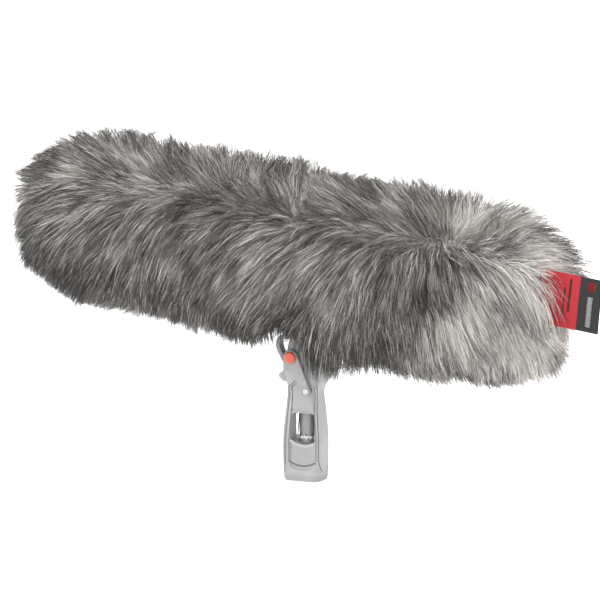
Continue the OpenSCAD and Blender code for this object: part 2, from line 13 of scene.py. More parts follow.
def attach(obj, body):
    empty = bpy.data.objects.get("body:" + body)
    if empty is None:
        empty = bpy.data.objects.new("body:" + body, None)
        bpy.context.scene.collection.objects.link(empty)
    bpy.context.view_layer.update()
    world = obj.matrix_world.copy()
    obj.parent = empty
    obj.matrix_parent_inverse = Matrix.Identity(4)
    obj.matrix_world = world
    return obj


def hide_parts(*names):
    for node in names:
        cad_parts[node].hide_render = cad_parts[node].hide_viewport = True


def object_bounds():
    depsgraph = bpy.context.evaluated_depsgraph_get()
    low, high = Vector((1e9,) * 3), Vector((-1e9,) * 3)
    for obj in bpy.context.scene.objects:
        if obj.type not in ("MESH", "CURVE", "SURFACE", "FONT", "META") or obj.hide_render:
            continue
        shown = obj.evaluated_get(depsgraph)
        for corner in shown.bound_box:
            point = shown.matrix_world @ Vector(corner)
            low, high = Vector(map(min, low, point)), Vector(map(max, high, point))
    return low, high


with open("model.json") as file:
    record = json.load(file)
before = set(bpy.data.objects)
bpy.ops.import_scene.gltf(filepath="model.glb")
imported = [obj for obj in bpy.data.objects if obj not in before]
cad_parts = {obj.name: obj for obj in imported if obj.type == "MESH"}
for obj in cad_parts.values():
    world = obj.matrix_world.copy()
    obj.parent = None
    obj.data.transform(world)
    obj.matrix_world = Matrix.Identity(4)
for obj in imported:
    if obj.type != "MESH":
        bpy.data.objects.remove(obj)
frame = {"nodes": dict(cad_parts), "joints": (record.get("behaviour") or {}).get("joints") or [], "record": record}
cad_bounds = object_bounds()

nodes = frame["nodes"]
scene = bpy.context.scene
MM = 0.001


# ------------------------------------------------------------------ camera and light

VIEW_AZIMUTH = math.radians(24)
VIEW_ELEVATION = math.radians(10.5)
VIEW_DISTANCE = 7.0
VIEW_WIDTH = 0.510
SENSOR = 36.0
AIM_RIGHT = -0.0070
AIM_UP = 0.1518

right = Vector((math.cos(VIEW_AZIMUTH), math.sin(VIEW_AZIMUTH), 0))
back = Vector((math.sin(VIEW_AZIMUTH) * math.cos(VIEW_ELEVATION),
               -math.cos(VIEW_AZIMUTH) * math.cos(VIEW_ELEVATION), math.sin(VIEW_ELEVATION)))
upward = back.cross(right)


def look(obj, place, target):
    obj.location = place
    obj.rotation_euler = (target - place).to_track_quat("-Z", "Y").to_euler()


def add_camera():
    data = bpy.data.cameras.new("camera")
    data.sensor_width = SENSOR
    data.lens = SENSOR * VIEW_DISTANCE / VIEW_WIDTH
    data.clip_end = 50
    camera = bpy.data.objects.new("camera", data)
    scene.collection.objects.link(camera)
    aim = right * AIM_RIGHT + upward * AIM_UP
    look(camera, aim + back * VIEW_DISTANCE, aim)
    scene.camera = camera


def add_light(name, place, target, size, power):
    data = bpy.data.lights.new(name, "AREA")
    data.shape = "DISK"
    data.size = size
    data.energy = power
    light = bpy.data.objects.new(name, data)
    scene.collection.objects.link(light)
    look(light, Vector(place), Vector(target))


add_camera()
middle = Vector((0, 0, 0.17))
add_light("key", (-0.9, -1.5, 1.9), middle, 0.8, 34)
add_light("rim", (1.2, 0.9, 1.6), middle, 0.8, 16)
add_light("fill", (1.6, -1.8, 0.5), middle, 1.4, 9)
add_light("behind", (-0.9, 1.9, 1.1), middle, 1.2, 16)

world = bpy.data.worlds.new("world")
world.use_nodes = True
world.node_tree.nodes["Background"].inputs["Color"].default_value = (1, 1, 1, 1)
world.node_tree.nodes["Background"].inputs["Strength"].default_value = 1.0
scene.world = world
scene.view_settings.view_transform = "Standard"


# ------------------------------------------------------------------ materials

def shader(name, rough=0.5, colour=None, **sockets):
    """A new node material: its node tree, its principled shader, and the material."""
    m = bpy.data.materials.new(name)
    m.use_nodes = True
    tree = m.node_tree
    bsdf = tree.nodes["Principled BSDF"]
    bsdf.inputs["Roughness"].default_value = rough
    if colour:
        bsdf.inputs["Base Color"].default_value = (*colour, 1)
    for key, value in sockets.items():
        bsdf.inputs[key.replace("_", " ")].default_value = value
    return tree, bsdf, m


def node(tree, kind, **values):
    n = tree.nodes.new(kind)
    for key, value in values.items():
        if key in n.inputs:
            n.inputs[key].default_value = value
        else:
            setattr(n, key, value)
    return n


def ramp(tree, source, stops):
    """A colour ramp over source, whose stops are (place, colour)."""
    n = tree.nodes.new("ShaderNodeValToRGB")
    elements = n.color_ramp.elements
    while len(elements) < len(stops):
        elements.new(0.5)
    for e, (place, colour) in zip(elements, stops):
        e.position = place
        e.color = (*colour, 1)
    tree.links.new(source, n.inputs["Fac"])
    return n.outputs["Color"]


def mixed(tree, factor, a, b, how="MIX"):
    """a mixed with b. Each is a number, a colour or another node's output."""
    n = tree.nodes.new("ShaderNodeMix")
    n.data_type = "RGBA"
    n.blend_type = how
    for value, kind, at in ((factor, "VALUE", 0), (a, "RGBA", 0), (b, "RGBA", 1)):
        socket = [x for x in n.inputs if x.type == kind][at]
        if isinstance(value, (float, int)):
            socket.default_value = value
        elif isinstance(value, tuple):
            socket.default_value = (*value, 1)
        else:
            tree.links.new(value, socket)
    return [o for o in n.outputs if o.type == "RGBA"][0]


def grey(value, warm=0.0):
    return (value * (1 + warm), value, value * (1 - warm))


def moulded(name, colour, rough, grain=0.00025, depth=0.25, spread=0.10, sheen=0.0):
    """A moulded plastic or rubber: fine grain in the bump, slow change of shade and gloss."""
    tree, bsdf, m = shader(name, rough, Sheen_Weight=sheen)
    place = node(tree, "ShaderNodeTexCoord").outputs["Object"]
    slow = node(tree, "ShaderNodeTexNoise", Scale=38.0, Detail=4.0)
    fine = node(tree, "ShaderNodeTexNoise", Scale=1 / grain, Detail=2.0)
    for n in (slow, fine):
        tree.links.new(place, n.inputs["Vector"])
    low = tuple(c * (1 - spread) for c in colour)
    high = tuple(min(1, c * (1 + spread)) for c in colour)
    tone = ramp(tree, slow.outputs["Fac"], [(0.3, low), (0.7, high)])
    speck = ramp(tree, fine.outputs["Fac"], [(0.35, (0.86,) * 3), (0.65, (1.0,) * 3)])
    tree.links.new(mixed(tree, 1.0, tone, speck, "MULTIPLY"), bsdf.inputs["Base Color"])
    gloss = node(tree, "ShaderNodeMapRange")
    gloss.inputs["To Min"].default_value = rough - 0.06
    gloss.inputs["To Max"].default_value = rough + 0.08
    tree.links.new(slow.outputs["Fac"], gloss.inputs["Value"])
    tree.links.new(gloss.outputs["Result"], bsdf.inputs["Roughness"])
    bump = node(tree, "ShaderNodeBump", Strength=depth, Distance=0.0002)
    tree.links.new(fine.outputs["Fac"], bump.inputs["Height"])
    tree.links.new(bump.outputs["Normal"], bsdf.inputs["Normal"])
    return m


def metal(name, colour, rough, stretch=(1, 1, 40), shine=1.0):
    """Turned or brushed metal: fine lines along one direction in its gloss and bump."""
    tree, bsdf, m = shader(name, rough, colour, Metallic=shine)
    place = node(tree, "ShaderNodeTexCoord").outputs["Object"]
    mapping = node(tree, "ShaderNodeMapping")
    mapping.inputs["Scale"].default_value = stretch
    lines = node(tree, "ShaderNodeTexNoise", Scale=90.0, Detail=3.0)
    tree.links.new(place, mapping.inputs["Vector"])
    tree.links.new(mapping.outputs["Vector"], lines.inputs["Vector"])
    tone = ramp(tree, lines.outputs["Fac"], [(0.3, tuple(0.86 * c for c in colour)), (0.7, colour)])
    tree.links.new(tone, bsdf.inputs["Base Color"])
    gloss = node(tree, "ShaderNodeMapRange")
    gloss.inputs["To Min"].default_value = rough * 0.75
    gloss.inputs["To Max"].default_value = rough * 1.35
    tree.links.new(lines.outputs["Fac"], gloss.inputs["Value"])
    tree.links.new(gloss.outputs["Result"], bsdf.inputs["Roughness"])
    bump = node(tree, "ShaderNodeBump", Strength=0.12, Distance=0.0002)
    tree.links.new(lines.outputs["Fac"], bump.inputs["Height"])
    tree.links.new(bump.outputs["Normal"], bsdf.inputs["Normal"])
    return m


def woven(name, warp, weft, pitch, rough=0.85, depth=0.6, sheen=0.25):
    """A woven cloth from two crossed sets of waves, in the object's own space."""
    tree, bsdf, m = shader(name, rough, Sheen_Weight=sheen)
    place = node(tree, "ShaderNodeTexCoord").outputs["Object"]
    waves = []
    for way in ("X", "Z"):
        n = node(tree, "ShaderNodeTexWave", Scale=0.314 / pitch)
        n.bands_direction = way
        n.inputs["Distortion"].default_value = 0.4
        tree.links.new(place, n.inputs["Vector"])
        waves.append(n.outputs["Fac"])
    cross = node(tree, "ShaderNodeMath", operation="MULTIPLY")
    tree.links.new(waves[0], cross.inputs[0])
    tree.links.new(waves[1], cross.inputs[1])
    fuzz = node(tree, "ShaderNodeTexNoise", Scale=400.0, Detail=3.0)
    tree.links.new(place, fuzz.inputs["Vector"])
    tone = ramp(tree, cross.outputs["Value"], [(0.1, warp), (0.7, weft)])
    speck = ramp(tree, fuzz.outputs["Fac"], [(0.3, (0.8,) * 3), (0.7, (1.0,) * 3)])
    tree.links.new(mixed(tree, 1.0, tone, speck, "MULTIPLY"), bsdf.inputs["Base Color"])
    bump = node(tree, "ShaderNodeBump", Strength=depth, Distance=0.0003)
    tree.links.new(cross.outputs["Value"], bump.inputs["Height"])
    tree.links.new(bump.outputs["Normal"], bsdf.inputs["Normal"])
    return m


STRAND_UV = "OFBake"


def hair_material():
    """Strand colour: across the map is how pale a strand is, and up the map is root to tip."""
    tree, bsdf, m = shader("fur_strands", 0.60, Sheen_Weight=0.10)
    bsdf.inputs["Specular IOR Level"].default_value = 0.30
    uv = node(tree, "ShaderNodeUVMap", uv_map=STRAND_UV)
    split = node(tree, "ShaderNodeSeparateXYZ")
    tree.links.new(uv.outputs["UV"], split.inputs[0])
    dark = ramp(tree, split.outputs["Y"], [
        (0.0, grey(0.30, 0.08)), (0.25, grey(0.15, 0.10)), (0.50, grey(0.055, 0.11)),
        (0.75, grey(0.018, 0.09)), (1.0, grey(0.007, 0.08))])
    middle = ramp(tree, split.outputs["Y"], [
        (0.0, grey(0.78, 0.05)), (0.35, grey(0.64, 0.06)), (0.60, grey(0.38, 0.08)),
        (0.80, grey(0.085, 0.10)), (1.0, grey(0.010, 0.08))])
    pale = ramp(tree, split.outputs["Y"], [
        (0.0, grey(0.92, 0.03)), (0.50, grey(0.90, 0.035)), (0.78, grey(0.78, 0.05)),
        (1.0, grey(0.26, 0.07))])
    lower = node(tree, "ShaderNodeMapRange")
    lower.inputs["From Max"].default_value = 0.5
    upper = node(tree, "ShaderNodeMapRange")
    upper.inputs["From Min"].default_value = 0.5
    for n in (lower, upper):
        tree.links.new(split.outputs["X"], n.inputs["Value"])
    low = mixed(tree, lower.outputs["Result"], dark, middle)
    tree.links.new(mixed(tree, upper.outputs["Result"], low, pale), bsdf.inputs["Base Color"])
    return m


grip_plastic = moulded("grip_plastic", grey(0.345), 0.50, grain=0.0005, depth=0.15)
grip_grain = moulded("grip_grain", grey(0.325), 0.62, grain=0.0006, depth=0.7, spread=0.05)
grip_dark = moulded("grip_dark", grey(0.30), 0.55, grain=0.0005)
soft_dark = moulded("soft_dark", grey(0.27), 0.70, grain=0.0003, sheen=0.1)
# The palm pad's own soft rubber, made paler than the shell as a painted highlight.
soft_pale = moulded("soft_pale", grey(0.40), 0.66, grain=0.0003, sheen=0.1)
steel = metal("steel", grey(0.24), 0.34, shine=0.45)
steel_bright = metal("steel_bright", grey(0.52), 0.25, shine=0.6)
screw_dark = metal("screw_dark", grey(0.12), 0.42)
bronze = metal("bronze", (0.30, 0.24, 0.16), 0.40)
friction = moulded("friction", grey(0.05), 0.85, grain=0.0008, depth=0.8)
lever_grey = moulded("lever_grey", grey(0.30), 0.48, grain=0.0006, depth=0.5)
button_red = moulded("button_red", (0.66, 0.11, 0.055), 0.38, grain=0.0005, depth=0.12, spread=0.05)
cage_plastic = moulded("cage_plastic", grey(0.065), 0.52, grain=0.0006)
lyre_plastic = moulded("lyre_plastic", grey(0.045), 0.42, grain=0.0008)
anodised = metal("anodised", grey(0.16), 0.38, stretch=(1, 40, 40))
elastic = woven("elastic", grey(0.42), grey(0.62), 0.0009)
binding = woven("binding", grey(0.03), grey(0.075), 0.0011)
cage_cloth = woven("cage_cloth", grey(0.09), grey(0.19), 0.0008)
# Painted shade: the lining's real knit is made dark, so that gaps in the pile show shade between the roots.
shade_dark_lining_knit = woven("shade_dark_lining_knit", grey(0.16, 0.03), grey(0.30, 0.03), 0.0016)
label_red = woven("label_red", (0.36, 0.010, 0.016), (0.50, 0.020, 0.030), 0.0006, 0.80, 0.5, 0.04)
label_black = woven("label_black", grey(0.010), grey(0.022), 0.0006, 0.80, 0.5, 0.02)
thread_pale = woven("thread_pale", grey(0.55), grey(0.80), 0.0004)
thread_red = woven("thread_red", (0.40, 0.010, 0.020), (0.60, 0.030, 0.045), 0.0004)
tape = woven("tape", grey(0.02), grey(0.06), 0.0007, 0.95, 1.0)
seam = moulded("seam", grey(0.10), 0.75, grain=0.0008)
# Painted shade: a dark finish for strips that stand in for the shade in the grip's grooves and along its panel and
# pad edges.
groove_and_edge_shade = moulded("groove_and_edge_shade", grey(0.13), 0.80, grain=0.0004)
# Painted highlight: a pale finish for the strip that stands in for the light on the block's ledge.
ledge_highlight = moulded("ledge_highlight", grey(0.44), 0.60, grain=0.0004)
strands = hair_material()

FINISH = {
    "grip_plastic": grip_plastic, "grip_grain": grip_grain, "grip_dark": grip_dark,
    "soft_dark": soft_dark, "soft_pale": soft_pale, "steel": steel, "screw_dark": screw_dark,
    "bronze": bronze, "friction": friction, "lever_grey": lever_grey, "button_red": button_red,
    "cage_plastic": cage_plastic, "lyre_plastic": lyre_plastic, "anodised": anodised,
    "cage_cloth": cage_cloth, "binding": binding, "elastic": elastic, "lining": shade_dark_lining_knit,
    "fur": strands, "fur_pale": strands, "tag_red": label_red, "tag_black": label_black}


def dress_nodes():
    """Gives every CAD node the finish of its slot. The lever's screw is polished brighter."""
    slots = {p["node"]: p["material_slot"] for p in frame["record"]["subparts"]}
    for name, obj in nodes.items():
        finish = steel_bright if name == "lever_screw" else FINISH.get(slots[name])
        if finish:
            obj.data.materials.clear()
            obj.data.materials.append(finish)


dress_nodes()


# ------------------------------------------------------------------ the windshield's own frame

clip = next(m for m in frame["record"]["mounts"] if m["name"] == "front_mic_clip")
pivot = Vector(next(j for j in frame["joints"] if j["name"] == "tilt")["pos_m"])
A = -np.array(clip["axis"])
A /= np.linalg.norm(A)
C = np.array([0.0, -1.0, 0.0])
U = np.cross(A, -C)
U /= np.linalg.norm(U)
O = np.array(clip["pos_m"]) + A * float(A @ (np.array(pivot) - np.array(clip["pos_m"])))


def points_of(name):
    """A node's points in the windshield's frame: along the axis, towards the left, and up."""
    co = np.array([v.co for v in nodes[name].data.vertices], float) - O
    return np.stack([co @ A, co @ C, co @ U], 1)


def to_world(p):
    return O + p[..., :1] * A + p[..., 1:2] * C + p[..., 2:3] * U


lining_points = points_of("cover_lining")
tube = points_of("tube_cloth")
S0, S1 = tube[:, 0].min(), tube[:, 0].max()
R = float(np.hypot(lining_points[:, 1], lining_points[:, 2]).max())
hem = points_of("rear_hem")
HOLE = float(np.hypot(hem[:, 1], hem[:, 2]).max())
S_END = S1 + math.sqrt(R * R - HOLE * HOLE)
opening = points_of("opening_binding")
OPEN_S = float(opening[:, 0].max())
OPEN_Y = float(opening[:, 1].max())
OPEN_ANGLE = math.pi - math.asin(OPEN_Y / R)


def surface(s, a):
    """Places and normals on the lining, at s along the axis and angle a from the top."""
    over = np.where(s < S0, s - S0, np.where(s > S1, s - S1, 0.0))
    r = np.sqrt(np.maximum(R * R - over * over, 0))
    p = np.stack([s, r * np.sin(a), r * np.cos(a)], -1)
    n = np.stack([over, r * np.sin(a), r * np.cos(a)], -1) / R
    return p, n


# ------------------------------------------------------------------ fur

GRAVITY = np.array([0, 0, -1.0])
DOWN = np.array([GRAVITY @ A, GRAVITY @ C, GRAVITY @ U])
STEPS = 6
STRAND = 0.039
REACH_TOP = 0.0870
REACH_BELOW = 0.0840
REACH_NOSE = 0.0740
REACH_AHEAD = 0.0900
REACH_GRIP = 0.1060
LOCKS = 3200
TUFTS = 24000
HAIRS = 104000
UNDERCOAT = 12000
WISPS = 7000
rng = np.random.default_rng(7)


def smooth(x, lo, hi):
    t = np.clip((x - lo) / (hi - lo), 0, 1)
    return t * t * (3 - 2 * t)


def make_noise(reach, turns, waves=9):
    """A smooth random field over (s, a), about -1 to 1, that closes round the axis."""
    k = rng.normal(0, 1 / reach, waves)
    m = rng.integers(-turns, turns + 1, waves)
    phase = rng.uniform(0, 2 * math.pi, waves)
    scale = 1 / math.sqrt(waves / 2)
    return lambda s, a: scale * sum(
        np.cos(k[i] * s + m[i] * a + phase[i]) for i in range(waves))


swirl = make_noise(0.035, 3)
ripple = make_noise(0.009, 9, 14)
lean = make_noise(0.030, 4)
lift = make_noise(0.018, 6)
patches = make_noise(0.026, 4)
bands = make_noise(0.012, 5, 12)
part_wander = make_noise(0.07, 0)
lengths = make_noise(0.016, 7, 12)


def parting(s):
    """Angle from the top at which the pile parts along the left of the cover."""
    return 0.62 + 0.20 * smooth(-s, 0.04, 0.16) + 0.08 * part_wander(s, 0 * s)


def spread_roots(count, shift, jitter):
    """Evenly spread roots over the cover, with none inside the grip opening."""
    i = np.arange(count) + shift
    s = (i * 0.7548776662466927) % 1
    a = (i * 0.5698402909980532) % 1
    s = S0 - R + s * (S_END - S0 + R) + rng.normal(0, jitter, count)
    a = (2 * a - 1) * math.pi + rng.normal(0, jitter / R, count)
    s = np.clip(s, S0 - R * 0.9995, S_END)
    a = (a + math.pi) % (2 * math.pi) - math.pi
    bare = (np.abs(s) < OPEN_S) & (np.abs(a) > OPEN_ANGLE)
    return s[~bare], a[~bare]


def comb(s):
    """How the pile is combed along the axis: forward at the nose, rearward at the tail."""
    return -0.16 - 0.95 * smooth(-s, 0.07, 0.22) + 0.98 * smooth(s, 0.06, 0.17)


def past_grip(s, a):
    """Distance along the axis behind the line where the pile starts to hang over the grip."""
    return s - 0.445 * (R * np.abs(np.sin(a)) + 0.006) + 0.008


def over_grip(s, a):
    """Where the pile hangs down over the grip's head, on both sides of the opening."""
    d = past_grip(s, a)
    return smooth(d, -0.004, 0.006) * (1 - smooth(d, 0.030, 0.046)) * smooth(np.abs(a), 1.75, 2.35)


def by_lever(s, a):
    """Where the pile is short beside the tilt lever, just ahead of the hanging part."""
    return np.exp(-(((past_grip(s, a) + 0.015) / 0.017) ** 2)) * smooth(np.abs(a), 1.6, 2.3)


def strand_length(s, a):
    ridge = 1 - smooth(np.abs(a), 0.5, 0.9)
    ends = smooth(-s, 0.20, 0.26) + smooth(s, 0.15, 0.20)
    return (STRAND + 0.007 * ridge + 0.014 * over_grip(s, a) - 0.013 * by_lever(s, a)
            + 0.004 * ends) * (1 + 0.15 * lengths(s, a))


def reach(s, a):
    """How far from the cage's core most of the pile stands."""
    top = 1 - smooth(np.abs(a), 0.6, 1.3)
    tube_part = REACH_BELOW + (REACH_TOP - REACH_BELOW) * top
    nose = smooth(-s, 0.07, 0.12)
    ahead = smooth(-s, 0.225, 0.25) + smooth(s, 0.185, 0.21)
    tail = smooth(s, 0.12, 0.19)
    return (tube_part + (REACH_NOSE - tube_part) * nose * (1 - 0.6 * top)
            + (REACH_AHEAD - REACH_NOSE) * ahead + (REACH_GRIP - REACH_BELOW) * over_grip(s, a)
            - 0.010 * by_lever(s, a) - tail * (0.006 * top + 0.013 * (1 - top)))


def grow(s, a, wild, scale=1.0, uneven=0.06, ragged=0.0):
    """Strands from the roots (s, a), of STEPS + 1 points each. wild scatters their directions,
    uneven their lengths, and ragged how far out they may stand."""
    p, n = surface(s, a)
    count = len(s)
    side = np.tanh((a - parting(s) + 0.14 * ripple(s, a)) / 0.26)
    near_bottom = 1 - smooth(np.abs(a), 2.4, 3.05)
    ridge = 1 - smooth(np.abs(a - 0.1), 0.45, 0.8)
    hanging = over_grip(s, a)
    turn = np.stack([0 * a, np.cos(a), -np.sin(a)], 1)
    along = np.array([1.0, 0, 0]) - n * n[:, :1]
    fall = (side * near_bottom * (1 - 0.62 * ridge) * (0.90 + 0.25 * lean(s, a)))[:, None] * turn
    sweep = ((comb(s) * (1 - 0.35 * ridge) + 0.32 * swirl(s, a) + 0.24 * ripple(s, a))
             * (1 - 0.7 * hanging))[:, None] * along
    flow = fall + sweep
    rise = (0.78 + 0.30 * lift(s, a) + 0.50 * ridge + 0.15 * (1 - near_bottom)) * (1 - 0.6 * hanging)
    d = n * rise[:, None] + 0.80 * flow + rng.normal(0, wild, (count, 3))
    d /= np.linalg.norm(d, axis=1)[:, None]
    bend = rng.normal(0, wild * 0.30, (count, 3))
    wave = rng.normal(0, 0.10, (count, 3))
    phase = rng.uniform(0, 2 * math.pi, (count, 1))
    length = (strand_length(s, a) * scale * rng.lognormal(0, uneven, count))[:, None]
    weight = (0.22 - 0.14 * ridge + 0.35 * hanging)[:, None]
    path = [p]
    for k in range(STEPS):
        p = p + d * length / STEPS
        path.append(p)
        d = d + weight * DOWN + 0.15 * flow + bend + wave * np.cos(phase + 1.7 * k)
        d /= np.linalg.norm(d, axis=1)[:, None]
    spread = ragged * (0.4 + 0.6 * np.abs(np.cos(a))) * (1 - hanging) * (1 - smooth(-s, 0.20, 0.24))
    deep = 1 + spread * np.clip(rng.normal(0, 1, count), -1.6, 1.6)
    return keep_within(np.stack(path, 1), R + (reach(s, a) - R) * deep)


def keep_within(paths, limit):
    """Lifts strands off the lining, and eases back, as a whole, those that stand out past limit."""
    x = paths[..., 0]
    over = np.where(x < S0, x - S0, np.where(x > S1, x - S1, 0.0))
    from_core = np.stack([over, paths[..., 1], paths[..., 2]], -1)
    far = np.maximum(np.linalg.norm(from_core, axis=2), 1e-6)
    low = R + 0.0014 * np.arange(paths.shape[1])
    wanted = np.maximum(far, low)
    out = np.maximum((wanted.max(1) - R) / (limit - R), 1e-6)
    eased = np.where(out < 0.80, out, 0.80 + 0.36 * (1 - np.exp(-(out - 0.80) / 0.36)))
    wanted = R + (wanted - R) * (eased / out)[:, None]
    return paths + from_core * ((wanted - far) / far)[..., None]


def gather(own, leaders, pull, power, keep):
    """Draws strands towards their nearest leader, more so towards the tip. keep is the share of
    a strand's distance from its leader that stays. Gives the strands and their leaders' indices."""
    tree = KDTree(len(leaders))
    for i, q in enumerate(leaders[:, 0]):
        tree.insert(q, i)
    tree.balance()
    near = np.array([tree.find(q)[1] for q in own[:, 0]])
    t = np.linspace(0, 1, own.shape[1]) ** power
    lead = leaders[near]
    offset = (own[:, :1] - lead[:, :1]) * keep
    target = lead + offset
    weight = (pull[:, None] * t[None, :])[..., None]
    return own * (1 - weight) + target * weight, near


def cut_short(paths, share):
    """Ends each strand at this share of its way, with as many points as before."""
    at = np.arange(paths.shape[1])[None, :] * share[:, None]
    low = np.minimum(at.astype(int), paths.shape[1] - 2)
    part = (at - low)[..., None]
    strand = np.arange(len(paths))[:, None]
    return paths[strand, low] * (1 - part) + paths[strand, low + 1] * part


def tube_mesh(name, paths, radius, tone):
    """One mesh of closed three-sided strands that taper to a point."""
    count, rings = paths.shape[0], paths.shape[1] - 1
    along = np.gradient(paths, axis=1)
    along /= np.maximum(np.linalg.norm(along, axis=2), 1e-9)[..., None]
    aside = np.cross(along, rng.normal(0, 1, (count, 1, 3)))
    aside /= np.maximum(np.linalg.norm(aside, axis=2), 1e-9)[..., None]
    other = np.cross(along, aside)
    t = np.linspace(0, 1, rings + 1)
    thick = radius[:, None] * (1 - 0.55 * t ** 2.5)[None, :]
    corners = [math.radians(x) for x in (90, 210, 330)]
    ring = [paths[:, :-1] + thick[:, :-1, None] * (math.cos(x) * aside + math.sin(x) * other)[:, :-1]
            for x in corners]
    body = np.stack(ring, 2).reshape(count, rings * 3, 3)
    points = np.concatenate([body, paths[:, -1:]], 1)
    per = rings * 3 + 1
    quads = np.array([[3 * i + k, 3 * i + (k + 1) % 3, 3 * i + 3 + (k + 1) % 3, 3 * i + 3 + k]
                      for i in range(rings - 1) for k in range(3)])
    last = 3 * (rings - 1)
    ends = np.array([[last, last + 1, last + 3], [last + 1, last + 2, last + 3],
                     [last + 2, last, last + 3], [2, 1, 0]])
    base = (np.arange(count) * per)[:, None, None]
    loops = np.concatenate([(quads[None] + base).reshape(count, -1),
                            (ends[None] + base).reshape(count, -1)], 1)
    sizes = np.tile([4] * len(quads) + [3] * len(ends), count)
    flat = loops.ravel().astype(np.int32)
    mesh = bpy.data.meshes.new(name)
    mesh.vertices.add(count * per)
    mesh.vertices.foreach_set("co", to_world(points).astype(np.float32).ravel())
    mesh.loops.add(len(flat))
    mesh.loops.foreach_set("vertex_index", flat)
    mesh.polygons.add(len(sizes))
    mesh.polygons.foreach_set("loop_start", np.concatenate([[0], np.cumsum(sizes)[:-1]]).astype(np.int32))
    up = np.concatenate([np.repeat(t[:-1], 3), [1.0]])
    v = np.tile(up, count)[flat]
    u = np.repeat(tone, per)[flat]
    layer = mesh.uv_layers.new(name=STRAND_UV)
    layer.data.foreach_set("uv", np.stack([u, v], 1).astype(np.float32).ravel())
    mesh.update()
    mesh.validate()
    mesh.polygons.foreach_set("use_smooth", np.ones(len(mesh.polygons), bool))
    obj = bpy.data.objects.new(name, mesh)
    scene.collection.objects.link(obj)
    mesh.materials.append(strands)
    return obj


MARKINGS = [  # along the axis, angle from the top, half length, half angle, paler or darker
    (-0.219, 0.51, 0.018, 0.26, 0.12), (-0.168, 0.42, 0.022, 0.16, 0.22),
    (-0.090, 0.68, 0.010, 0.14, 0.14), (-0.058, 0.42, 0.014, 0.14, 0.26),
    (-0.018, 0.42, 0.012, 0.16, 0.30), (0.008, 0.34, 0.018, 0.28, 0.38),
    (-0.158, 1.60, 0.009, 0.24, 0.20), (-0.090, 1.28, 0.008, 0.16, 0.14),
    (-0.009, 1.20, 0.009, 0.22, 0.18), (-0.060, 1.86, 0.009, 0.16, 0.16),
    (0.074, 0.42, 0.016, 0.22, 0.22), (0.141, 0.40, 0.014, 0.20, 0.60),
    (0.176, 0.66, 0.012, 0.16, 0.26), (0.216, 1.28, 0.018, 0.26, 0.42),
    (0.224, 0.30, 0.016, 0.40, 0.30), (0.108, 2.00, 0.014, 0.14, 0.16),
    (-0.057, 0.98, 0.016, 0.14, -0.22), (-0.141, 0.33, 0.012, 0.12, -0.24),
    (-0.183, 0.62, 0.014, 0.09, -0.18), (0.006, 2.16, 0.012, 0.16, -0.24),
    (-0.186, 2.22, 0.020, 0.20, -0.18), (0.126, 0.60, 0.010, 0.10, -0.50),
    (0.162, 1.08, 0.020, 0.09, -0.52), (0.203, 0.58, 0.016, 0.09, -0.48),
    (0.087, 1.34, 0.010, 0.26, -0.26), (0.225, 1.76, 0.012, 0.14, -0.45),
    (0.192, 1.02, 0.024, 0.24, 0.26), (0.129, 0.72, 0.014, 0.16, 0.28),
    (0.147, 1.56, 0.016, 0.22, -0.26), (0.024, 0.96, 0.018, 0.18, -0.24)]


def paleness(s, a):
    """How pale the coat looks: at the parting, over the tail, in its markings and in drifts, and darker underneath
    as painted shade.
    """
    by_part = np.exp(-((a - parting(s)) / 0.20) ** 2) * (0.08 + 0.12 * lean(s, a))
    tail = smooth(s, 0.09, 0.21)
    drift = (0.08 + 0.12 * tail) * patches(s, a) + (0.07 + 0.11 * tail) * bands(s, a)
    marks = sum(amount * np.exp(-((s - at) / half) ** 2 - ((a - turn) / wide) ** 2)
                for at, turn, half, wide, amount in MARKINGS)
    # Painted shade: the coat is darker on its underside, ahead of the tail.
    under = smooth(np.abs(a), 1.85, 2.4) * (1 - smooth(s, 0.07, 0.13))
    return 0.385 + by_part + 0.42 * tail - 0.15 * under + drift + marks


def tone_of(paths):
    """Paleness where a strand's outer part shows."""
    q = paths[:, 4]
    return paleness(q[:, 0], np.arctan2(q[:, 1], q[:, 2]))


def make_fur():
    """All strands, as (roots along the axis, paths, radius, tone). Hairs gather into tufts, and
    tufts into locks. Locks and tufts only guide, and aren't drawn."""
    s, a = spread_roots(LOCKS, 0, 0.0026)
    locks = grow(s, a, 0.17, 1.0, 0.18, 0.26)
    s, a = spread_roots(TUFTS, 0.37, 0.0012)
    tufts, _ = gather(grow(s, a, 0.15, 1.0, 0.16, 0.17), locks, rng.uniform(0.30, 0.88, len(s)), 1.1, 0.32)
    tuft_tone = np.where(rng.random(len(s)) < 0.38, -0.26, 0.17) + rng.normal(0, 0.10, len(s))
    groups = []
    s, a = spread_roots(HAIRS, 0.71, 0.0010)
    hairs, near = gather(grow(s, a, 0.09), tufts, rng.uniform(0.60, 0.98, len(s)), 0.75, 0.18)
    hairs = cut_short(hairs, 1 - 0.42 * rng.random(len(s)) ** 1.4)
    tone = tone_of(hairs) + tuft_tone[near] + rng.normal(0, 0.24, len(s))
    groups.append((s, hairs, rng.uniform(0.00014, 0.00025, len(s)), np.clip(tone, 0, 1)))
    s, a = spread_roots(WISPS, 0.13, 0.0015)
    wisps, _ = gather(grow(s, a, 0.20, 1.20, 0.20), locks, rng.uniform(0.3, 0.8, len(s)), 1.0, 0.3)
    groups.append((s, wisps, rng.uniform(0.00010, 0.00017, len(s)),
                   np.clip(tone_of(wisps) - 0.30, 0, 1)))
    s, a = spread_roots(UNDERCOAT, 0.53, 0.0010)
    under = grow(s, a, 0.30, 0.50)
    groups.append((s, under, rng.uniform(0.00022, 0.00030, len(s)), rng.uniform(0.6, 0.9, len(s))))
    return [np.concatenate([g[i] for g in groups]) for i in range(4)]


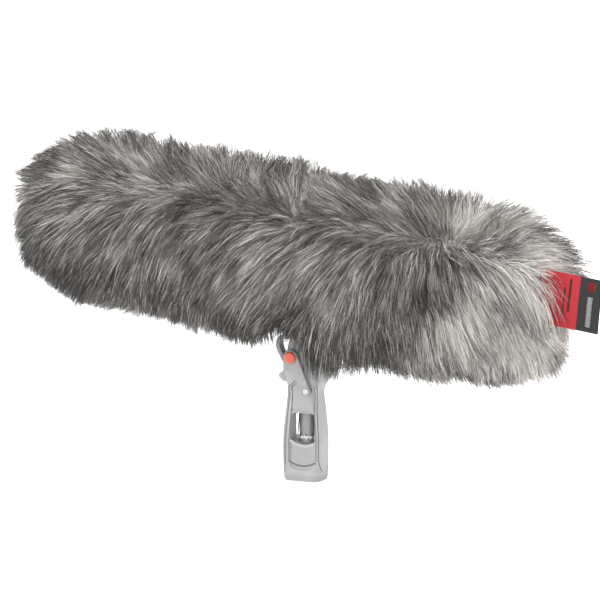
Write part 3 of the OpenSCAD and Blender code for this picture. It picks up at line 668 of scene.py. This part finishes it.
def shell_between(name, s_values, a_values, place, thick, material, skip=None):
    """A closed cloth shell over a grid of (s, a), leaving out the cells that skip says."""
    s, a = np.meshgrid(s_values, a_values, indexing="ij")
    points = to_world(place(s, a)).reshape(-1, 3)
    rows, cols = s.shape
    faces = []
    for i in range(rows - 1):
        for j in range(cols - 1):
            middle_s, middle_a = s[i:i + 2, j].mean(), a[i, j:j + 2].mean()
            if skip is None or not skip(middle_s, middle_a):
                faces.append((i * cols + j, i * cols + j + 1, (i + 1) * cols + j + 1, (i + 1) * cols + j))
    mesh = bpy.data.meshes.new(name)
    mesh.from_pydata(points.tolist(), [], faces)
    obj = bpy.data.objects.new(name, mesh)
    scene.collection.objects.link(obj)
    weld = obj.modifiers.new("weld", "WELD")
    weld.merge_threshold = 1e-5
    solid = obj.modifiers.new("thickness", "SOLIDIFY")
    solid.thickness = thick
    solid.offset = 0
    for p in mesh.polygons:
        p.use_smooth = True
    mesh.materials.append(material)
    return obj


def rows(*spans):
    """Grid values from (from, to, cells) spans that follow each other."""
    return np.concatenate([np.linspace(a, b, n, endpoint=False) for a, b, n in spans] + [[spans[-1][1]]])


def on_cage(radius, wave=0.0, count=12):
    """Places on a sleeve of this radius round the cage, drawn in a little between its bars."""
    def place(s, a):
        over = np.where(s < S0, s - S0, np.where(s > S1, s - S1, 0.0))
        r = np.sqrt(np.maximum(radius * radius - over * over, 0)) * (1 - wave * np.sin(count * a / 2) ** 2)
        return np.stack([s, r * np.sin(a), r * np.cos(a)], -1)
    return place


def sweep_ribbon(name, path, out, width, thick, material, closed=False, crown=0.3, place=to_world):
    """A flat, round-edged band along path. out is which way its face looks at each point."""
    path, out = np.asarray(path, float), np.asarray(out, float)
    if closed:
        ahead, behind = np.roll(path, -1, 0), np.roll(path, 1, 0)
    else:
        ahead, behind = np.vstack([path[1:], path[-1:]]), np.vstack([path[:1], path[:-1]])
    along = ahead - behind
    along /= np.linalg.norm(along, axis=1)[:, None]
    across = np.cross(out, along)
    across /= np.linalg.norm(across, axis=1)[:, None]
    face = np.cross(along, across)
    sides = 16
    t = np.linspace(0, 2 * math.pi, sides, endpoint=False)
    flat = np.sign(np.cos(t)) * np.abs(np.cos(t)) ** 0.6 * width / 2
    up = np.sign(np.sin(t)) * np.abs(np.sin(t)) ** crown * thick / 2
    ring = path[:, None] + across[:, None] * flat[None, :, None] + face[:, None] * up[None, :, None]
    n = len(path)
    faces = [(i * sides + k, i * sides + (k + 1) % sides,
              (i + 1) % n * sides + (k + 1) % sides, (i + 1) % n * sides + k)
             for i in range(n if closed else n - 1) for k in range(sides)]
    if not closed:
        faces += [tuple(range(sides))[::-1], tuple((n - 1) * sides + k for k in range(sides))]
    return new_mesh(name, place(ring).reshape(-1, 3), faces, material)


def new_mesh(name, points, faces, material):
    mesh = bpy.data.meshes.new(name)
    mesh.from_pydata([tuple(q) for q in points], [], faces)
    mesh.update()
    for q in mesh.polygons:
        q.use_smooth = True
    obj = bpy.data.objects.new(name, mesh)
    scene.collection.objects.link(obj)
    mesh.materials.append(material)
    return obj


def stands_for(obj, slot, *names, body="windshield"):
    """Gives obj its body, and hides the CAD nodes that it takes the place of, if any. slot is not used."""
    if names:
        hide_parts(*names)
    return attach(obj, body)


def add_cage_cloth():
    """The acoustic cloth, stretched over the cage: a sleeve and two domes."""
    r = float(np.hypot(tube[:, 1], tube[:, 2]).mean())
    gap_s, gap_y = 0.062, 0.011
    gap = math.pi - math.asin(gap_y / r)
    around = rows((-math.pi, -gap, 4), (-gap, gap, 144), (gap, math.pi, 4))
    full = np.linspace(-math.pi, math.pi, 145)
    sleeve = shell_between(
        "tube_cloth_sleeve", rows((S0, -gap_s, 30), (-gap_s, gap_s, 24), (gap_s, S1, 22)), around,
        on_cage(r, 0.006), 0.6 * MM, cage_cloth, lambda s, a: abs(s) < gap_s and abs(a) > gap)
    stands_for(sleeve, "cage_cloth", "tube_cloth")
    swing = np.linspace(0.01, math.pi / 2, 26)
    for name, s_values, rests in (("front_dome_cloth", S0 - r * np.cos(swing), "front_dome"),
                                  ("rear_dome_cloth", S1 + r * np.cos(swing[::-1]), "rear_dome")):
        cap = shell_between(name + "_cap", s_values, full, on_cage(r, 0.006), 0.6 * MM, cage_cloth)
        stands_for(cap, "cage_cloth", name)


def add_trim():
    """The binding round the grip opening, the tape along the slit, and the gathered rear hem."""
    s_edge = [(-OPEN_S, OPEN_S), (OPEN_S, OPEN_S), (OPEN_S, -OPEN_S), (-OPEN_S, -OPEN_S)]
    turn = [(OPEN_ANGLE, OPEN_ANGLE), (OPEN_ANGLE, 2 * math.pi - OPEN_ANGLE),
            (2 * math.pi - OPEN_ANGLE,) * 2, (2 * math.pi - OPEN_ANGLE, OPEN_ANGLE)]
    s = np.concatenate([np.linspace(a * 0.975, b * 0.975, 40, endpoint=False) for a, b in s_edge])
    a = np.concatenate([np.linspace(x, y, 40, endpoint=False) for x, y in turn])
    for _ in range(3):
        s = (np.roll(s, 1) + s + np.roll(s, -1)) / 3
        a = (np.roll(a, 1) + a + np.roll(a, -1)) / 3
    p, n = surface(s, a)
    pucker = 0.00025 * np.sin(np.arange(len(s)) * 1.9)
    band = sweep_ribbon("opening_edge", p + n * pucker[:, None], n, 0.0042, 0.0030, binding, True, 0.6)
    stands_for(band, "binding", "opening_binding")
    for name, side in (("hook_tape", 1), ("loop_tape", -1)):
        q = points_of(name)
        s = np.linspace(q[:, 0].min(), q[:, 0].max(), 40)
        mid = np.stack([s, 0 * s + q[:, 1].mean(), 0 * s + (q[:, 2].min() + q[:, 2].max()) / 2], 1)
        mid[:, 2] += 0.0002 * np.sin(s * 260 + side)
        band = sweep_ribbon(name + "_band", mid, np.tile([0, 0, -1.0], (40, 1)),
                            float(np.ptp(q[:, 1])), 0.0012, tape)
        stands_for(band, "binding", name)
    a = np.linspace(0, 2 * math.pi, 120, endpoint=False)
    for name, slot, finish, thick in (("rear_hem", "lining", shade_dark_lining_knit, 0.0046),
                                      ("rear_elastic", "elastic", elastic, 0.0026)):
        q = points_of(name)
        r = np.hypot(q[:, 1], q[:, 2])
        r_mid, s_mid = (r.min() + r.max()) / 2, (q[:, 0].min() + q[:, 0].max()) / 2
        ruffle = 0.0005 * np.sin(24 * a) if name == "rear_hem" else 0 * a
        ring = np.stack([s_mid + ruffle, (r_mid + ruffle) * np.sin(a), (r_mid + ruffle) * np.cos(a)], 1)
        out = np.stack([0.6 + 0 * a, 0.8 * np.sin(a), 0.8 * np.cos(a)], 1)
        band = sweep_ribbon(name + "_ring", ring, out, thick, thick, finish, True, 0.9)
        stands_for(band, slot, name)


def corners_of(name):
    """The four corners of a flat label's middle, as lower and upper pairs, from left to right."""
    co = np.array([v.co for v in nodes[name].data.vertices])
    x, z = co[:, 0], co[:, 2]
    pick = [np.argmin(x + z), np.argmin(x - z), np.argmax(x - z), np.argmax(x + z)]
    q = co[pick].copy()
    q[:, 1] = (co[:, 1].min() + co[:, 1].max()) / 2
    return q.reshape(2, 2, 3)


def label_place(corners, u, v, out=0.0):
    """A place on a label, u along it and v up it, which bows and curls a little."""
    low = corners[0][0] * (1 - u) + corners[1][0] * u
    high = corners[0][1] * (1 - u) + corners[1][1] * u
    q = low * (1 - v) + high * v
    along = (q[0] - LABEL_FROM) / LABEL_LONG
    q[1] -= (1.6 * math.sin(math.pi * v) * along + along * along - 0.4) * MM + out
    return q


LABEL_WIDTH = {"tag_red": 0.0385, "tag_black": 0.0205}
LABEL_HEIGHT = 0.046


def add_label():
    """The folded label sewn into the rear seam: a red half and a black half, with plain stitching."""
    for name, width in LABEL_WIDTH.items():
        corners = corners_of(name)
        u_count, v_count, half = 30, 44, 0.42 * MM
        points, faces = [], []
        for side in (-1, 1):
            for i in range(u_count + 1):
                for j in range(v_count + 1):
                    u, v = i / u_count, j / v_count
                    edge = min(v, 1 - v) * LABEL_HEIGHT
                    lip = 0.22 * MM * math.exp(-((edge - 1.2 * MM) / (0.7 * MM)) ** 2)
                    soft = half * min(1, 0.45 + edge / (0.8 * MM))
                    weave = 0.03 * MM * math.sin(i * 1.7) * math.sin(j * 2.3)
                    points.append(label_place(corners, u, v, side * (soft + lip + weave)))
        row = v_count + 1
        layer = (u_count + 1) * row
        for i in range(u_count):
            for j in range(v_count):
                a = i * row + j
                faces += [(a, a + 1, a + row + 1, a + row),
                          (layer + a, layer + a + row, layer + a + row + 1, layer + a + 1)]
        rim = ([(i * row, (i + 1) * row) for i in range(u_count)]
               + [(u_count * row + j, u_count * row + j + 1) for j in range(v_count)]
               + [((i + 1) * row + v_count, i * row + v_count) for i in range(u_count - 1, -1, -1)]
               + [(j + 1, j) for j in range(v_count - 1, -1, -1)])
        faces += [(a, b, layer + b, layer + a) for a, b in rim]
        label = new_mesh(name + "_label", points, faces, FINISH[name])
        stands_for(label, name, name)
        add_marks(name, corners)


def add_marks(name, corners):
    """Plain satin-stitched bars on the label's two faces, with no lettering. A bar's numbers are
    its span along the label, its span up it, and its count of stitches."""
    if name == "tag_black":
        bars = [("pale", 0.40, 0.62, 0.10, 0.66, 150, thread_pale),
                ("red", 0.34, 0.68, 0.76, 0.92, 44, thread_red)]
    else:
        bars = [("upper", 0.74, 0.80, 0.30, 0.92, 60, label_black),
                ("lower", 0.62, 0.66, 0.22, 0.74, 50, label_black)]
    pieces = []
    for mark, u0, u1, v0, v1, count, finish in bars:
        points, faces = [], []
        for side in (-1, 1):
            for k in range(count):
                v = v0 + (v1 - v0) * (k + 0.5) / count
                half_v = 0.48 * (v1 - v0) / count
                base = len(points)
                for i in range(5):
                    u = u0 + (u1 - u0) * i / 4
                    crest = (0.20 + 0.18 * math.sin(math.pi * i / 4)) * MM
                    for dv, rise in ((-half_v, 0.0), (0.0, crest), (half_v, 0.0)):
                        points.append(label_place(corners, u, v + dv, side * (0.36 * MM + rise)))
                for i in range(4):
                    for m in range(3):
                        a, b = base + 3 * i + m, base + 3 * i + (m + 1) % 3
                        faces.append((a, b, b + 3, a + 3))
                faces += [(base, base + 1, base + 2), (base + 12, base + 14, base + 13)]
        bar = new_mesh(f"{name}_{mark}_bar", points, faces, finish)
        stands_for(bar, name)
        pieces.append(bar)
    return pieces


def make_lining():
    nose = S0 - R * np.cos(np.linspace(0.02, math.pi / 2, 22, endpoint=False))
    body = rows((S0, -OPEN_S, 40), (-OPEN_S, OPEN_S, 24), (OPEN_S, S1, 34))
    tail_to = math.asin((S_END - S1) / R)
    tail = S1 + R * np.sin(np.linspace(0, tail_to, 14)[1:])
    around = rows((-math.pi, -OPEN_ANGLE, 8), (-OPEN_ANGLE, OPEN_ANGLE, 112), (OPEN_ANGLE, math.pi, 8))
    # The lining's dark knit paints the shade that shows between the roots where the pile parts.
    lining = shell_between(
        "lining", np.concatenate([nose, body, tail]), around, on_cage(R), 1.1 * MM, shade_dark_lining_knit,
        lambda s, a: abs(s) < OPEN_S and abs(a) > OPEN_ANGLE)
    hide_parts("cover_lining")
    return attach(lining, "windshield")


FUR_PIECES = 14


def add_fur():
    s, paths, radius, tone = make_fur()
    order = np.argsort(s, kind="stable")
    pieces = []
    for k, part in enumerate(np.array_split(order, FUR_PIECES)):
        obj = tube_mesh(f"fur_{k + 1:02d}", paths[part], radius[part], tone[part])
        pale = k >= FUR_PIECES - 3
        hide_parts("fur_rear" if pale else "fur_nose" if k < 4 else "fur_body")
        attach(obj, "windshield")
        pieces.append(obj)
    return pieces


GRIP_SKIN = ["shell_left", "shell_right", "front_overmould", "palm_overmould", "inset_panel_left",
             "inset_panel_right", "base_block", "base_cap"]
GROOVE_LOW = 13.2
GROOVE_RISE = 0.0245
# Seam lines are dark strips of painted shade in grooves and along edges; the pale line is a painted highlight on
# the block's ledge.
GRIP_LINES = [  # name, width, height, kind, and places (x, z) down the grip's side, in millimetres
    ("strip_edge", 0.9, 0.32, "seam", [(-12.5, 81), (-12, 73), (-13, 61), (-14.5, 47), (-15.5, 35),
                                       (-15.5, 14)]),
    ("strip_groove", 0.9, 0.32, "seam", [(-10, 81), (-9, 73), (-10, 61), (-11, 47), (-12, 36),
                                         (-12, 16)]),
    ("bump_edge", 0.9, 0.32, "seam", [(-12.5, 81), (-9.5, 83.5), (-5, 88)]),
    ("bump_groove", 0.9, 0.32, "seam", [(-10, 81), (-7.5, 83), (-3.5, 86.5)]),
    ("panel_edge", 0.7, 0.24, "seam", [(10.5, 84), (10.5, 60), (12.5, 37), (12.5, 17.5)]),
    ("pad_edge", 0.9, 0.32, "seam", [(12.5, 84), (11.5, 74), (12.5, 60), (14, 37), (14, 18), (15.5, 9)]),
    ("block_groove", 1.5, 0.40, "seam", [(x, GROOVE_LOW + GROOVE_RISE * x * x) for x in range(-12, 13)]),
    ("block_ledge", 2.2, 0.80, "pale", [(-11, 35), (-6, 31.5), (2, 30.5), (6.5, 31), (11, 33)])]


def skin_tree():
    """The outer pieces of the grip's body, as one surface to measure."""
    points, faces = [], []
    for name in GRIP_SKIN:
        data = nodes[name].data
        base = len(points)
        points += [v.co.copy() for v in data.vertices]
        faces += [tuple(base + i for i in p.vertices) for p in data.polygons]
    return BVHTree.FromPolygons(points, faces)


def add_grip_lines():
    """The moulded trim lines, the groove and the pad's edge as dark strips of painted shade, and the ledge as a
    pale strip of painted highlight, laid on both sides of the grip.
    """
    tree = skin_tree()
    clear_of_grip, spacing, innermost = 50 * MM, 0.7 * MM, 3 * MM
    # Seam lines get the painted-shade finish, and the pale ledge gets the painted-highlight finish.
    kinds = {"seam": (groove_and_edge_shade, "grip_dark"), "pale": (ledge_highlight, "grip_plastic")}
    for name, width, height, kind, places in GRIP_LINES:
        places = np.array(places) * MM
        walk = np.concatenate([[0], np.cumsum(np.linalg.norm(np.diff(places, axis=0), axis=1))])
        t = np.linspace(0, walk[-1], max(8, int(walk[-1] / spacing)))
        x, z = np.interp(t, walk, places[:, 0]), np.interp(t, walk, places[:, 1])
        for _ in range(6):
            x[1:-1], z[1:-1] = (x[:-2] + x[1:-1] + x[2:]) / 3, (z[:-2] + z[1:-1] + z[2:]) / 3
        for side, word in ((-1, "left"), (1, "right")):
            met = [tree.ray_cast(Vector((a, side * clear_of_grip, b)), Vector((0, -side, 0)))[:2]
                   for a, b in zip(x, z)]
            met = [(q, n) for q, n in met if q is not None and abs(q.y) > innermost]
            path = np.array([q for q, n in met])
            out = np.array([n * (1 if n.y * side > 0 else -1) for q, n in met])
            finish, slot = kinds[kind]
            band = sweep_ribbon(f"{name}_{word}", path, out, width * MM, height * MM,
                                finish, False, 0.8, lambda q: q)
            stands_for(band, slot, body="grip")


def add_tube_collar():
    """The knurled collar low on the threaded tube: a ring whose face swells into small studs."""
    co = np.array([v.co for v in nodes["thread_tube"].data.vertices])
    middle_x = co[:, 0].mean()
    radius = float(np.hypot(co[:, 0] - middle_x, co[:, 1]).max())
    around, up, studs, low, high = 192, 25, 16, 35.0 * MM, 38.4 * MM
    points = []
    for j in range(up):
        v = j / (up - 1)
        for i in range(around):
            a = 2 * math.pi * i / around
            swell = max(0.0, math.sin(math.pi * v))
            stud = max(0.0, math.cos(studs * a)) * swell ** 2
            r = radius + (0.35 * swell ** 0.5 + 0.7 * stud - 0.2) * MM
            points.append((middle_x + r * math.cos(a), r * math.sin(a), low + (high - low) * v))
    faces = [(j * around + i, j * around + (i + 1) % around,
              (j + 1) * around + (i + 1) % around, (j + 1) * around + i)
             for j in range(up - 1) for i in range(around)]
    ring = new_mesh("tube_collar", points, faces, steel_bright)
    stands_for(ring, "steel", body="grip")


both = np.concatenate([corners_of(name) for name in LABEL_WIDTH])
LABEL_FROM = float(both[..., 0].min())
LABEL_LONG = float(both[..., 0].max()) - LABEL_FROM

lining = make_lining()
fur = add_fur()
add_cage_cloth()
add_trim()
add_label()
add_grip_lines()
add_tube_collar()


# ------------------------------------------------------------------ floor

def add_floor():
    mesh = bpy.data.meshes.new("floor")
    e = 6.0
    z = cad_bounds[0].z - 0.0005
    mesh.from_pydata([(-e, -e, z), (e, -e, z), (e, e, z), (-e, e, z)], [], [(0, 1, 2, 3)])
    floor = bpy.data.objects.new("floor", mesh)
    scene.collection.objects.link(floor)
    _, bsdf, m = shader("floor", 0.9, (0.9, 0.9, 0.9))
    bsdf.inputs["Emission Color"].default_value = (1, 1, 1, 1)
    bsdf.inputs["Emission Strength"].default_value = 0.5
    mesh.materials.append(m)


add_floor()
